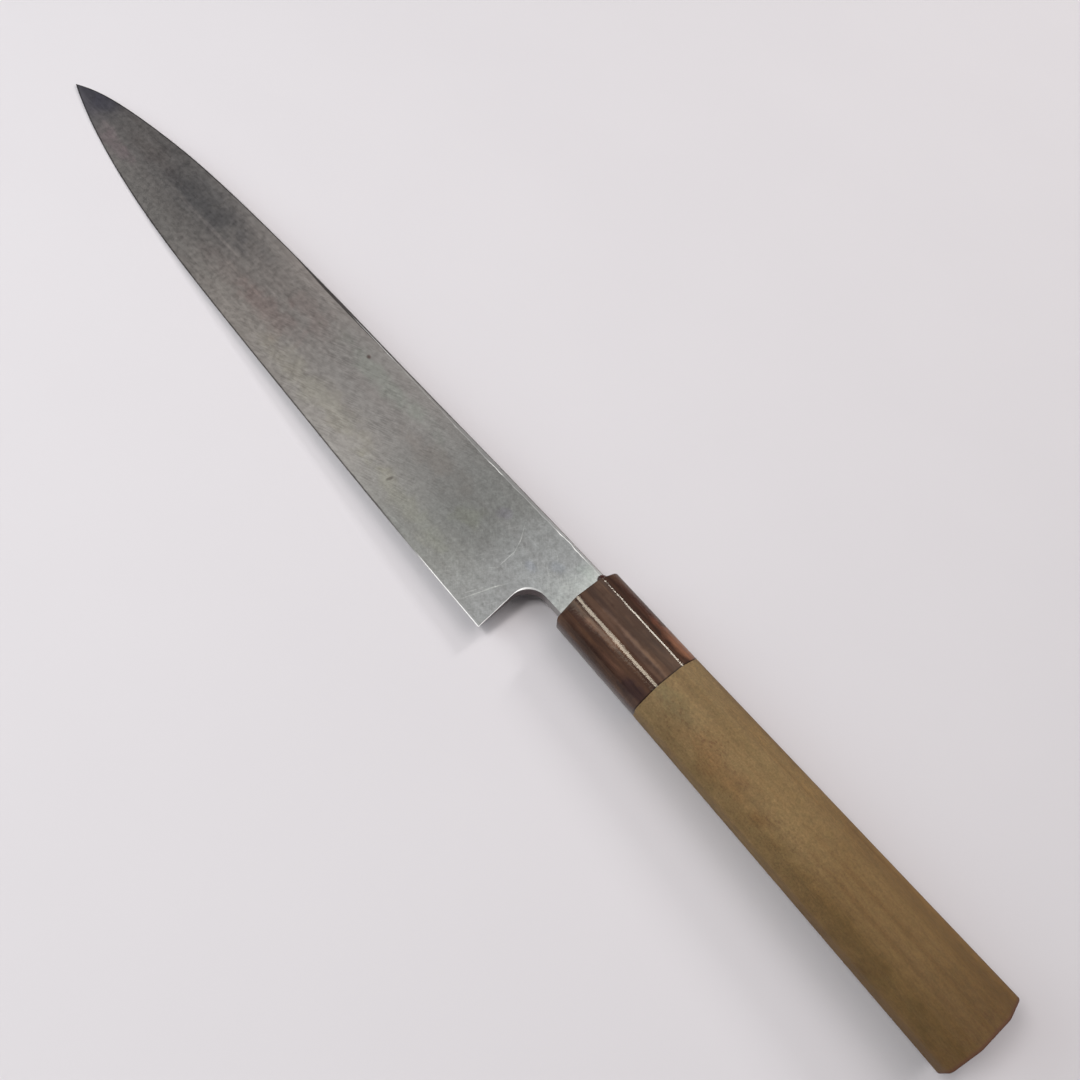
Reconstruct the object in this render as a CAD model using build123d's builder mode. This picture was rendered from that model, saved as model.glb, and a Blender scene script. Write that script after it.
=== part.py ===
from build123d import *
import math
import os

os.makedirs("parts", exist_ok=True)

# A single-bevel slicing knife, lying on its bevelled side with the hollow-ground back up.
# +X runs from the tip to the butt along the handle's axis, +Y from the edge to the spine, +Z up.
# The origin is under the middle of the knife's box, at the level that the handle lies on.

# Blade sizes in plan
edge_length = 240.0
heel_gap = 11.1
blade_height = 35.5
spine_above_axis = 7.8
neck_below_axis = 8.35
heel_lean_angle = 7.5
choil_radius = 6.0

# Blade sizes across its thickness
neck_thickness = 4.1
tip_thickness = 1.3
edge_thickness = 0.12
bevel_width = 16.5
hollow_radius = 330.0
hollow_edge_rim = 0.8
hollow_spine_rim = 1.5
hollow_tip_rim = 0.5
runout_radius = 90.0
runout_start_gap = 10.0
spine_round = 0.4
hard_steel_share = 0.34

# Weld line at the back end of the hard steel plate: each point's distance in front of the
# ferrule, and its drop below the spine
weld_spine_gap = 25.0
weld_middle_gap = 21.0
weld_middle_drop = 9.0
weld_choil_gap = 12.0
weld_choil_drop = 21.5

# Tang sizes
neck_seat_depth = 3.0
tang_reach = 95.0
tang_root_height = 9.4
tang_root_thickness = 3.9
tang_end_height = 4.8
tang_end_thickness = 2.4

# Handle sizes
handle_length = 137.5
ferrule_length = 31.5
ferrule_front_height = 21.1
ferrule_front_thickness = 17.2
joint_height = 21.45
joint_thickness = 17.45
butt_height = 24.4
butt_thickness = 19.7
corner_cut_share = 0.293
facet_edge_radius = 3.0
ferrule_front_round = 0.7
butt_round = 0.6

# Ferrule and tenon fit
ferrule_front_wall = 9.5
tenon_diameter = 13.8
tenon_side_clearance = 0.1
tenon_end_clearance = 0.5
tenon_end_break = 0.6

# Slots and resin around the neck and tang
slot_clearance = 0.2
slot_spine_gap = 0.9
resin_drop_radius = 1.6
resin_drop_reach = 2.6
resin_drop_inset = 1.2
resin_drop_sink = 0.6
tang_hole_clearance = 0.15
tang_hole_spare = 3.0

# How far a cutting shape runs on past what it cuts
overrun = 2.0

# Outline points as shares of the blade's reach and height, from the ferrule's face to the tip
edge_curve_shares = [
    (0.24, 0.006), (0.40, 0.027), (0.56, 0.053), (0.72, 0.102), (0.86, 0.210), (0.93, 0.299)
]
spine_curve_shares = [
    (0.15, 0.980), (0.40, 0.933), (0.52, 0.914), (0.62, 0.887), (0.72, 0.844),
    (0.80, 0.789), (0.86, 0.725), (0.92, 0.640), (0.965, 0.548)
]
tip_height_share = 0.425
hollow_station_shares = [0.0, 0.02, 0.04, 0.10, 0.20, 0.35, 0.50, 0.65, 0.78, 0.88, 0.96]

# Places worked out from the sizes
blade_reach = heel_gap + edge_length
tip_x = -(blade_reach + handle_length) / 2
front_x = tip_x + blade_reach
heel_x = front_x - heel_gap
joint_x = front_x + ferrule_length
butt_x = front_x + handle_length
tang_end_x = front_x + tang_reach
heel_below_axis = blade_height - spine_above_axis
axis_y = (heel_below_axis - butt_height / 2) / 2
edge_y = axis_y - heel_below_axis
spine_y = axis_y + spine_above_axis
neck_y = axis_y - neck_below_axis
neck_height = spine_above_axis + neck_below_axis
neck_middle = (spine_above_axis - neck_below_axis) / 2
axis_z = butt_thickness / 2
back_z = axis_z + neck_thickness / 2
flat_slope = (neck_thickness - tip_thickness) / blade_reach
bevel_slope = (neck_thickness - flat_slope * heel_gap - edge_thickness) / bevel_width


def blade_point(reach_share, height_share):
    """A point of the blade's outline in plan."""
    return (front_x - reach_share * blade_reach, edge_y + height_share * blade_height)


def cross_plane(x):
    """A plane square to the handle's axis: its x runs to the spine, its y up."""
    return Plane(origin=(x, axis_y, axis_z), x_dir=(0, 1, 0), z_dir=(1, 0, 0))


def octagon(height, thickness):
    """The handle's eight-sided section, drawn in the running sketch, with softened facet edges."""
    half_y, half_z = height / 2, thickness / 2
    cut_y, cut_z = corner_cut_share * height, corner_cut_share * thickness
    section = Polygon(
        (half_y, half_z - cut_z), (half_y - cut_y, half_z),
        (cut_y - half_y, half_z), (-half_y, half_z - cut_z),
        (-half_y, cut_z - half_z), (cut_y - half_y, -half_z),
        (half_y - cut_y, -half_z), (half_y, cut_z - half_z),
        align=None,
    )
    fillet(section.vertices(), facet_edge_radius)


def tang_size(x, clearance):
    """The tang's height and thickness at x, with a clearance all round."""
    run = (x - front_x - neck_seat_depth) / (tang_reach - neck_seat_depth)
    height = tang_root_height + run * (tang_end_height - tang_root_height)
    thickness = tang_root_thickness + run * (tang_end_thickness - tang_root_thickness)
    return height + 2 * clearance, thickness + 2 * clearance


# The two long curves of the blade's outline, from the ferrule's face to the tip
tip_point = blade_point(1, tip_height_share)
with BuildLine() as edge_curve:
    Spline((front_x, edge_y), *[blade_point(*share) for share in edge_curve_shares], tip_point)
with BuildLine() as spine_curve:
    Spline((front_x, spine_y), *[blade_point(*share) for share in spine_curve_shares], tip_point)

# The whole blade and tang, before they are parted into two metals
with BuildPart() as blade:
    with BuildSketch(Plane.XY.offset(back_z)):
        with BuildLine():
            add(edge_curve.line)
            add(spine_curve.line)
            Line((front_x, edge_y), (front_x, spine_y))
        make_face()
    extrude(amount=-neck_thickness)
    back_edges = blade.faces().sort_by(Axis.Z)[-1].edges()
    fillet(back_edges.sort_by(Axis.Y)[-1], spine_round)

    # The flat side draws in towards the back, from the neck to the tip
    with BuildSketch(Plane.XZ.offset(-edge_y)):
        Polygon(
            (front_x, back_z - neck_thickness),
            (tip_x, back_z - tip_thickness),
            (tip_x, back_z - neck_thickness - overrun),
            (front_x, back_z - neck_thickness - overrun),
            align=None,
        )
    extrude(amount=-blade_height, mode=Mode.SUBTRACT)

    # The wide bevel follows the edge at one angle, and its ridge line is where it meets the flat
    with BuildLine(Plane.XY.offset(back_z)) as bevel_path:
        add(edge_curve.line)
        edge_end = edge_curve.line @ 1
        Line(edge_end, edge_end + (edge_curve.line % 1) * overrun)
    wedge_width = (neck_thickness + overrun) / bevel_slope
    wedge_plane = Plane(origin=(front_x, edge_y, back_z), x_dir=(0, 1, 0), z_dir=(-1, 0, 0))
    with BuildSketch(wedge_plane) as bevel_wedge:
        Polygon(
            (-overrun, edge_thickness - overrun * bevel_slope),
            (wedge_width, edge_thickness + wedge_width * bevel_slope),
            (-overrun, edge_thickness + wedge_width * bevel_slope),
            align=None,
        )
    sweep(path=bevel_path.line, mode=Mode.SUBTRACT)

    # The back is ground hollow between narrow rims, and the wheel lifts off before the neck
    wheel_points = []
    for station in hollow_station_shares:
        foot, head = edge_curve.line @ station, spine_curve.line @ station
        across = head - foot
        spine_rim = hollow_spine_rim + (hollow_tip_rim - hollow_spine_rim) * station
        chord = across.length - hollow_edge_rim - spine_rim
        middle = foot + across.normalized() * (hollow_edge_rim + chord / 2)
        lift = max(0, runout_start_gap - station * blade_reach) ** 2 / (2 * runout_radius)
        wheel_points.append((middle.X, middle.Y, back_z + lift - chord**2 / (8 * hollow_radius)))
    with BuildLine() as wheel_path:
        Spline(*wheel_points)
    wheel_rise = blade_height**2 / (8 * hollow_radius)
    with BuildSketch(Plane(origin=wheel_points[0], x_dir=(0, 1, 0), z_dir=(-1, 0, 0))) as wheel_face:
        with BuildLine():
            ThreePointArc((-blade_height / 2, -wheel_rise), (0, 0), (blade_height / 2, -wheel_rise))
            Polyline(
                (blade_height / 2, -wheel_rise), (blade_height / 2, -wheel_rise - overrun),
                (-blade_height / 2, -wheel_rise - overrun), (-blade_height / 2, -wheel_rise),
            )
        make_face()
    wheel_guide = Line(
        Vector(*wheel_points[0]) + Vector(0, 0, blade_height),
        Vector(*wheel_points[-1]) + Vector(0, 0, blade_height),
        mode=Mode.PRIVATE,
    )
    sweep(path=wheel_path.line, binormal=wheel_guide, mode=Mode.SUBTRACT)

    # Heel, choil and the underside of the neck
    lean = math.tan(math.radians(heel_lean_angle))
    notch_foot = (heel_x + lean * overrun, edge_y - overrun)
    notch_corner = (heel_x - lean * (neck_y - edge_y), neck_y)
    notch_end = (front_x + overrun, neck_y)
    with BuildSketch(Plane.XY.offset(back_z + overrun)):
        with BuildLine():
            FilletPolyline(notch_foot, notch_corner, notch_end, radius=choil_radius)
            Polyline(notch_end, (front_x + overrun, edge_y - overrun), notch_foot)
        make_face()
    extrude(amount=-neck_thickness - 2 * overrun, mode=Mode.SUBTRACT)

    # The end of the neck that sits in the ferrule, and the tapering tang behind it
    with BuildSketch(cross_plane(front_x)):
        with Locations((neck_middle, 0)):
            Rectangle(neck_height, neck_thickness)
    extrude(amount=neck_seat_depth)
    for x in (front_x + neck_seat_depth, tang_end_x):
        with BuildSketch(cross_plane(x)):
            Rectangle(*tang_size(x, 0))
    loft(ruled=True)

# Hard steel plate on the hollow back, from the tip to the weld line, down to the cutting edge
with BuildPart() as hard_steel:
    add(blade.part)
    weld_choil_point = (front_x - weld_choil_gap, spine_y - weld_choil_drop)
    weld_middle_point = (front_x - weld_middle_gap, spine_y - weld_middle_drop)
    weld_spine_point = (front_x - weld_spine_gap, spine_y + overrun)
    with BuildSketch(Plane.XY.offset(back_z + overrun)):
        with BuildLine():
            ThreePointArc(weld_choil_point, weld_middle_point, weld_spine_point)
            Polyline(
                weld_spine_point, (butt_x, spine_y + overrun),
                (butt_x, spine_y - weld_choil_drop), weld_choil_point,
            )
        make_face()
    extrude(amount=-neck_thickness - 2 * overrun, mode=Mode.SUBTRACT)
    with BuildSketch(Plane.XZ.offset(-edge_y)):
        Polygon(
            (front_x, back_z - hard_steel_share * neck_thickness),
            (tip_x, back_z - hard_steel_share * tip_thickness),
            (tip_x, back_z - neck_thickness - overrun),
            (front_x, back_z - neck_thickness - overrun),
            align=None,
        )
    extrude(amount=-blade_height, mode=Mode.SUBTRACT)
hard_steel.part.label = "blade_hard_steel"
export_step(hard_steel.part, "parts/blade_hard_steel.step")

# Soft iron body: the flat and most of the bevel, the neck and the tang
with BuildPart() as soft_iron:
    add(blade.part)
    add(hard_steel.part, mode=Mode.SUBTRACT)
soft_iron.part.label = "blade_soft_iron"
export_step(soft_iron.part, "parts/blade_soft_iron.step")

# Slot in the ferrule's mouth, longer than the neck at the spine
pocket_low = neck_below_axis + slot_clearance
pocket_high = spine_above_axis + slot_spine_gap
pocket_height = pocket_low + pocket_high
pocket_middle = (pocket_high - pocket_low) / 2
pocket_thickness = neck_thickness + 2 * slot_clearance

# Horn ferrule, bored from behind for the handle's tenon
with BuildPart() as ferrule:
    with BuildSketch(cross_plane(front_x)):
        octagon(ferrule_front_height, ferrule_front_thickness)
    with BuildSketch(cross_plane(joint_x)):
        octagon(joint_height, joint_thickness)
    loft(ruled=True)
    fillet(ferrule.faces().sort_by(Axis.X)[0].edges(), ferrule_front_round)
    with BuildSketch(cross_plane(front_x)):
        with Locations((pocket_middle, 0)):
            Rectangle(pocket_height, pocket_thickness)
    extrude(amount=neck_seat_depth, mode=Mode.SUBTRACT)
    with BuildSketch(cross_plane(front_x)):
        Rectangle(tang_root_height + 2 * slot_clearance, tang_root_thickness + 2 * slot_clearance)
    extrude(amount=ferrule_length, mode=Mode.SUBTRACT)
    with BuildSketch(cross_plane(front_x + ferrule_front_wall)):
        Circle(tenon_diameter / 2)
    extrude(amount=ferrule_length, mode=Mode.SUBTRACT)
ferrule.part.label = "horn_ferrule"
export_step(ferrule.part, "parts/horn_ferrule.step")

# Wooden handle with its tenon, and the hole that the tang was burned into
with BuildPart() as handle:
    with BuildSketch(cross_plane(joint_x)):
        octagon(joint_height, joint_thickness)
    with BuildSketch(cross_plane(butt_x)):
        octagon(butt_height, butt_thickness)
    loft(ruled=True)
    fillet(handle.faces().sort_by(Axis.X)[-1].edges(), butt_round)
    tenon_x = front_x + ferrule_front_wall + tenon_end_clearance
    with BuildSketch(cross_plane(tenon_x)):
        Circle(tenon_diameter / 2 - tenon_side_clearance)
    extrude(until=Until.NEXT)
    chamfer(handle.faces().sort_by(Axis.X)[0].edges(), tenon_end_break)
    for x in (tenon_x, tang_end_x + tang_hole_spare):
        with BuildSketch(cross_plane(x)):
            Rectangle(*tang_size(x, tang_hole_clearance))
    loft(ruled=True, mode=Mode.SUBTRACT)
handle.part.label = "wood_handle"
export_step(handle.part, "parts/wood_handle.step")

# Resin that seals the slot round the neck, with a drop that set on the neck's spine corner
with BuildPart() as resin:
    with BuildSketch(cross_plane(front_x)):
        with Locations((pocket_middle, 0)):
            Rectangle(pocket_height, pocket_thickness)
    extrude(amount=neck_seat_depth)
    drop_x = front_x - resin_drop_reach + resin_drop_radius
    with Locations((drop_x, spine_y - resin_drop_inset, back_z - resin_drop_sink)):
        Sphere(resin_drop_radius)
    add(blade.part, mode=Mode.SUBTRACT)
    add(ferrule.part, mode=Mode.SUBTRACT)
resin.part.label = "tang_resin"
export_step(resin.part, "parts/tang_resin.step")
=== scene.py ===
import math

import bpy
from bpy.props import FloatProperty, FloatVectorProperty, PointerProperty
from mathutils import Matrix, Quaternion, Vector
from mathutils.geometry import convex_hull_2d


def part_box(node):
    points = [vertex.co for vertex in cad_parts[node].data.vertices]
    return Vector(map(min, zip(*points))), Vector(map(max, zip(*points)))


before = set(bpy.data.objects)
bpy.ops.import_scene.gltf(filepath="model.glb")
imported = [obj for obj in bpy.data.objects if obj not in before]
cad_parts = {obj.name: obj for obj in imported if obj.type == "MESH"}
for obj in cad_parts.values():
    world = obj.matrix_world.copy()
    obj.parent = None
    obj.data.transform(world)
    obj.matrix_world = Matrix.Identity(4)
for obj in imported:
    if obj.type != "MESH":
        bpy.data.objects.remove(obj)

bl_info = {
    "name": "Yanagiba knife",
    "version": (1, 0, 0),
    "blender": (4, 5, 0),
    "location": "View3D > Sidebar > Knife",
    "description": "Finishes of a single-bevel slicing knife: patinated blade, horn ferrule, worn wood",
    "category": "Object",
}

MM = 0.001

# Places read from the frame: the ferrule's front on the handle's axis, at the level of the blade's back
FERRULE_LOW, FERRULE_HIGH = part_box("horn_ferrule")
WOOD_LOW, WOOD_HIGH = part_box("wood_handle")
_, IRON_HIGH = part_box("blade_soft_iron")
STEEL_LOW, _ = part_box("blade_hard_steel")
AXIS_Y = (FERRULE_LOW.y + FERRULE_HIGH.y) / 2
AXIS_Z = (WOOD_LOW.z + WOOD_HIGH.z) / 2
START = Vector((FERRULE_LOW.x, AXIS_Y, IRON_HIGH.z))
BLADE_REACH = (START.x - STEEL_LOW.x) / MM
HANDLE_LENGTH = (WOOD_HIGH.x - FERRULE_LOW.x) / MM
FERRULE_LENGTH = (FERRULE_HIGH.x - FERRULE_LOW.x) / MM
BLADE_NODES = ("blade_hard_steel", "blade_soft_iron")


def srgb(red, green, blue):
    """A colour as it is read off a screen, 0 to 255, made linear."""
    shares = [value / 255 for value in (red, green, blue)]
    return tuple(s / 12.92 if s <= 0.04045 else ((s + 0.055) / 1.055) ** 2.4 for s in shares)


# Small ways to build node trees

# Numbered sockets of the node that mixes two colours
MIX_SHARE, MIX_UNDER, MIX_OVER, MIX_RESULT = 0, 6, 7, 2
NOISE_ROUGHNESS = 0.55


def feed(tree, socket, value):
    """Links a socket to an output, or sets it to a plain value."""
    if isinstance(value, bpy.types.NodeSocket):
        tree.links.new(value, socket)
    elif socket.type == "RGBA" and len(value) == 3:
        socket.default_value = (*value, 1)
    else:
        socket.default_value = value


def add_node(tree, kind, inputs=None, **settings):
    """Adds a node with its settings, and feeds its inputs, which are named or numbered."""
    node = tree.nodes.new(kind)
    for name, value in settings.items():
        setattr(node, name, value)
    for socket, value in (inputs or {}).items():
        feed(tree, node.inputs[socket], value)
    return node


def calc(tree, operation, *values):
    """One step of arithmetic."""
    return add_node(tree, "ShaderNodeMath", dict(enumerate(values)), operation=operation).outputs[0]


def product(tree, first, *others):
    """All values multiplied."""
    for other in others:
        first = calc(tree, "MULTIPLY", first, other)
    return first


def largest(tree, first, *others):
    """The largest of several values."""
    for other in others:
        first = calc(tree, "MAXIMUM", first, other)
    return first


def add_share(tree, base, value, share):
    """The base plus a share of a value."""
    return calc(tree, "MULTIPLY_ADD", value, share, base)


def centred(tree, value):
    """A value about 0.5 moved to lie about 0."""
    return calc(tree, "SUBTRACT", value, 0.5)


def map_range(tree, value, start, end, low, high, interpolation):
    """Goes from low to high as the value goes from start to end."""
    inputs = {"Value": value, "From Min": start, "From Max": end, "To Min": low, "To Max": high}
    return add_node(tree, "ShaderNodeMapRange", inputs, interpolation_type=interpolation).outputs["Result"]


def rise(tree, value, start, end, low=0.0, high=1.0):
    """Turns smoothly from low to high as the value goes from start to end, which may be the smaller."""
    return map_range(tree, value, start, end, low, high, "SMOOTHSTEP")


def slope(tree, value, start, end, low, high):
    """Goes straight from low to high as the value goes from start to end."""
    return map_range(tree, value, start, end, low, high, "LINEAR")


def stretch(tree, value, start, full, full_end, end):
    """A mask that is 1 from full to full_end along the knife, in mm, and fades out to start and end."""
    return product(tree, rise(tree, value, start, full), rise(tree, value, end, full_end))


def vector_calc(tree, operation, *values):
    """One step of arithmetic on vectors."""
    return add_node(tree, "ShaderNodeVectorMath", dict(enumerate(values)), operation=operation).outputs[0]


def combine(tree, x, y, z):
    """A vector from its parts."""
    return add_node(tree, "ShaderNodeCombineXYZ", {0: x, 1: y, 2: z}).outputs[0]


def separate(tree, vector):
    """The parts of a vector."""
    return list(add_node(tree, "ShaderNodeSeparateXYZ", {0: vector}).outputs)


def turn_back(tree, vector, angle):
    """Turns a vector about z so that what lay at that angle comes to lie along x."""
    inputs = {"Vector": vector, "Angle": calc(tree, "MULTIPLY", angle, -1.0)}
    return add_node(tree, "ShaderNodeVectorRotate", inputs, rotation_type="Z_AXIS").outputs[0]


def paint(tree, mask, under, over, blend="MIX"):
    """Puts one colour over another through a mask."""
    inputs = {MIX_SHARE: mask, MIX_UNDER: under, MIX_OVER: over}
    return add_node(tree, "ShaderNodeMix", inputs, data_type="RGBA", blend_type=blend).outputs[MIX_RESULT]


def tint(tree, mask, colour, tone):
    """Multiplies a colour by a tone through a mask."""
    return paint(tree, mask, colour, tone, "MULTIPLY")


def shade_by(tree, colour, value):
    """Multiplies a colour by a grey of that value."""
    grey = add_node(tree, "ShaderNodeCombineColor", {0: value, 1: value, 2: value}).outputs[0]
    return tint(tree, 1.0, colour, grey)


def colour_ramp(tree, value, stops):
    """A colour for each value from 0 to 1, from a list of stops."""
    node = add_node(tree, "ShaderNodeValToRGB", {0: value})
    node.color_ramp.interpolation = "EASE"
    elements = node.color_ramp.elements
    while len(elements) < len(stops):
        elements.new(0.5)
    for element, (position, _) in zip(elements, stops):
        element.position = position
    for element, (_, colour) in zip(elements, stops):
        element.color = (*colour, 1)
    return node.outputs["Color"]


def noise(tree, place, size, detail=3.0, roughness=NOISE_ROUGHNESS):
    """Soft noise about 0.5 whose blobs are about the given size in mm."""
    inputs = {"Vector": place, "Scale": 1 / size, "Detail": detail, "Roughness": roughness}
    return add_node(tree, "ShaderNodeTexNoise", inputs).outputs[0]


def new_group(name, inputs, outputs):
    """A node group with named sockets, and its inner ends."""
    group = bpy.data.node_groups.new(name, "ShaderNodeTree")
    for socket_name, (kind, default) in inputs.items():
        socket = group.interface.new_socket(socket_name, in_out="INPUT", socket_type="NodeSocket" + kind)
        if default is not None:
            socket.default_value = default
    for socket_name, kind in outputs.items():
        group.interface.new_socket(socket_name, in_out="OUTPUT", socket_type="NodeSocket" + kind)
    source = group.nodes.new("NodeGroupInput").outputs
    sink = group.nodes.new("NodeGroupOutput").inputs
    return group, source, sink


def place_group(tree, name, inputs):
    """Puts a shared group into a tree and returns its outputs."""
    node = add_node(tree, "ShaderNodeGroup", node_tree=bpy.data.node_groups[name])
    for socket, value in inputs.items():
        feed(tree, node.inputs[socket], value)
    return node.outputs


# Shared effects

# Where the soft edge of a mark, and of a speck, begins and ends, as a share of its half size
MARK_EDGE = (1.1, 0.2)
SPECK_EDGE = (1.2, 0.4)

# The smallest speck's size as a share of the radius asked for
SMALLEST_SPECK = 0.35


def make_streaks_group():
    """Noise drawn out along one direction: grain, brush strokes and horn fibres."""
    tree, source, sink = new_group(
        "Streaks",
        {
            "Place": ("Vector", None),
            "Angle": ("Float", 0.0),
            "Length": ("Float", 20.0),
            "Width": ("Float", 1.0),
            "Shift": ("Float", 0.0),
            "Detail": ("Float", 3.0),
            "Low": ("Float", 0.3),
            "High": ("Float", 0.7),
        },
        {"Value": "Float"},
    )
    turned = turn_back(tree, source["Place"], source["Angle"])
    size = combine(tree, source["Length"], source["Width"], source["Width"])
    moved = vector_calc(tree, "ADD", vector_calc(tree, "DIVIDE", turned, size), source["Shift"])
    value = noise(tree, moved, 1.0, source["Detail"])
    feed(tree, sink["Value"], rise(tree, value, source["Low"], source["High"]))


def streaks(tree, place, angle, length, width, shift=0.0, detail=3.0, low=0.3, high=0.7):
    """Streaks from 0 to 1, with their direction in radians and their size in mm."""
    inputs = {
        "Place": place,
        "Angle": angle,
        "Length": length,
        "Width": width,
        "Shift": shift,
        "Detail": detail,
        "Low": low,
        "High": high,
    }
    return place_group(tree, "Streaks", inputs)[0]


def make_spot_group():
    """One soft-edged mark at a chosen place: a stain, a worn patch or a scratch."""
    tree, source, sink = new_group(
        "Spot",
        {
            "Place": ("Vector", None),
            "X": ("Float", 0.0),
            "Y": ("Float", 0.0),
            "Angle": ("Float", 0.0),
            "Length": ("Float", 10.0),
            "Width": ("Float", 5.0),
            "Ragged": ("Float", 0.0),
        },
        {"Mask": "Float"},
    )
    x, y, _ = separate(tree, source["Place"])
    x = calc(tree, "SUBTRACT", x, source["X"])
    y = calc(tree, "SUBTRACT", y, source["Y"])
    turned = turn_back(tree, combine(tree, x, y, 0.0), source["Angle"])
    half_length = calc(tree, "MULTIPLY", source["Length"], 0.5)
    half_width = calc(tree, "MULTIPLY", source["Width"], 0.5)
    half_size = combine(tree, half_length, half_width, 1.0)
    drawn = vector_calc(tree, "DIVIDE", turned, half_size)
    distance = add_node(tree, "ShaderNodeVectorMath", {0: drawn}, operation="LENGTH").outputs["Value"]
    ragged = calc(tree, "ADD", distance, source["Ragged"])
    feed(tree, sink["Mask"], rise(tree, ragged, *MARK_EDGE))


def spot(tree, place, x, y, length, width, angle, ragged):
    """One soft-edged mark, with its place and size in mm and its angle in degrees."""
    inputs = {
        "Place": place,
        "X": x,
        "Y": y,
        "Angle": math.radians(angle),
        "Length": length,
        "Width": width,
        "Ragged": ragged,
    }
    return place_group(tree, "Spot", inputs)[0]


def ragged_edge(tree, place, size, amount):
    """What the soft edges of marks are roughened with."""
    return product(tree, centred(tree, noise(tree, place, size, detail=4.0)), amount)


def paint_marks(tree, place, colour, marks, ragged):
    """Paints the marks of a table over a colour."""
    for x, y, length, width, angle, tone, strength in marks:
        mask = spot(tree, place, x, y, length, width, angle, ragged)
        colour = tint(tree, product(tree, mask, strength), colour, tone)
    return colour


def make_specks_group():
    """Small scattered dots of uneven size: rust specks, pores and dark flecks, drawn out if asked."""
    tree, source, sink = new_group(
        "Specks",
        {
            "Place": ("Vector", None),
            "Spacing": ("Float", 4.0),
            "Radius": ("Float", 0.5),
            "Stretch": ("Float", 1.0),
            "Share": ("Float", 0.5),
        },
        {"Mask": "Float"},
    )
    spacing = source["Spacing"]
    size = combine(tree, calc(tree, "MULTIPLY", spacing, source["Stretch"]), spacing, spacing)
    cells = vector_calc(tree, "DIVIDE", source["Place"], size)
    voronoi = add_node(tree, "ShaderNodeTexVoronoi", {"Vector": cells, "Scale": 1.0}, feature="F1").outputs
    pick = add_node(tree, "ShaderNodeSeparateColor", {0: voronoi["Color"]}).outputs
    chosen = calc(tree, "LESS_THAN", pick[0], source["Share"])
    reach = calc(tree, "DIVIDE", source["Radius"], spacing)
    reach = calc(tree, "MULTIPLY", reach, calc(tree, "ADD", pick[1], SMALLEST_SPECK))
    inside = calc(tree, "DIVIDE", voronoi["Distance"], reach)
    feed(tree, sink["Mask"], calc(tree, "MULTIPLY", chosen, rise(tree, inside, *SPECK_EDGE)))


def specks(tree, place, spacing, radius, share, stretched=1.0):
    """Specks of that radius and spacing in mm, in that share of the places where one could be."""
    inputs = {"Place": place, "Spacing": spacing, "Radius": radius, "Stretch": stretched, "Share": share}
    return place_group(tree, "Specks", inputs)[0]


# Materials

def new_material(name):
    """A material, its node tree and shader, and the place on the knife in mm from the ferrule's front."""
    material = bpy.data.materials.new(name)
    material.use_nodes = True
    tree = material.node_tree
    inputs = {
        "Vector": add_node(tree, "ShaderNodeTexCoord").outputs["Object"],
        "Location": tuple(-START / MM),
        "Scale": (1 / MM, 1 / MM, 1 / MM),
    }
    place = add_node(tree, "ShaderNodeMapping", inputs).outputs[0]
    return material, tree, tree.nodes["Principled BSDF"], place


def add_bump(tree, shader, height, distance, normal=None):
    """Gives the shader a bump of that height in mm, on the mesh's own normal or on a given one."""
    bump = add_node(tree, "ShaderNodeBump", {"Height": height, "Distance": distance * MM, "Strength": 1.0})
    if normal is not None:
        feed(tree, bump.inputs["Normal"], normal)
    feed(tree, shader.inputs["Normal"], bump.outputs[0])


def dress(node_name, material):
    """Gives a piece of the frame its material."""
    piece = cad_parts[node_name]
    piece.data.materials.clear()
    piece.data.materials.append(material)


# Blade

# Spine and edge are measured on the frame's meshes, at steps that crowd towards the tip. Margin, low and
# high are in mm.
OUTLINE_STEPS = 22
OUTLINE_CROWDING = 1.7
OUTLINE_MARGIN = 0.1
OUTLINE_LOW, OUTLINE_HIGH = -32.0, 12.0

# The notch below the neck, in mm from the ferrule's front on the axis, and the heel's lean in degrees
HEEL_GAP, NECK_DROP, HEEL_DROP, HEEL_LEAN, CHOIL_RADIUS = 11.1, 8.35, 27.7, 7.5, 6.0

# Depth of the strokes in mm
STROKE_DEPTH = 0.004

# Colour of the patina in the middle of the back, from the ferrule (0) to the tip (1)
PATINA_ALONG = [
    (0.00, srgb(176, 180, 176)),
    (0.05, srgb(146, 148, 147)),
    (0.14, srgb(126, 127, 124)),
    (0.36, srgb(160, 156, 152)),
    (0.55, srgb(154, 147, 142)),
    (0.72, srgb(131, 126, 123)),
    (0.88, srgb(136, 130, 127)),
    (0.97, srgb(104, 100, 106)),
]

# Colour of the rounded spine, from the ferrule (0) to the tip (1)
SPINE_ALONG = [
    (0.00, srgb(110, 98, 96)),
    (0.24, srgb(120, 112, 110)),
    (0.36, srgb(190, 188, 188)),
    (0.44, srgb(120, 116, 116)),
    (0.56, srgb(245, 244, 244)),
    (0.84, srgb(235, 234, 234)),
    (0.90, srgb(130, 128, 128)),
]

SPINE_BAND = srgb(150, 149, 148)
# Painted shade (the dark line) and painted highlight (the bright line) along the spine's rim
SPINE_SHADE_LINE = srgb(66, 61, 61)
SPINE_HIGHLIGHT_LINE = srgb(252, 252, 248)
DARK_EDGE = srgb(66, 62, 61)
# Painted highlight on the edge near the heel and on the notch's corner
EDGE_HIGHLIGHT = srgb(255, 255, 253)
# Painted shade on the notch's wall, lighter under the neck
NOTCH_WALL_SHADE = srgb(104, 90, 90)
NECK_UNDERSIDE_SHADE = srgb(176, 172, 170)

# Tones that the patina is multiplied by
PALER_NEAR_EDGE = (1.27, 1.27, 1.25)
PALER_NEAR_SPINE = (1.42, 1.42, 1.42)
CLOUD_TONE = (0.93, 0.91, 0.91)
SPECK_TONE = (0.62, 0.52, 0.50)

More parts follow.
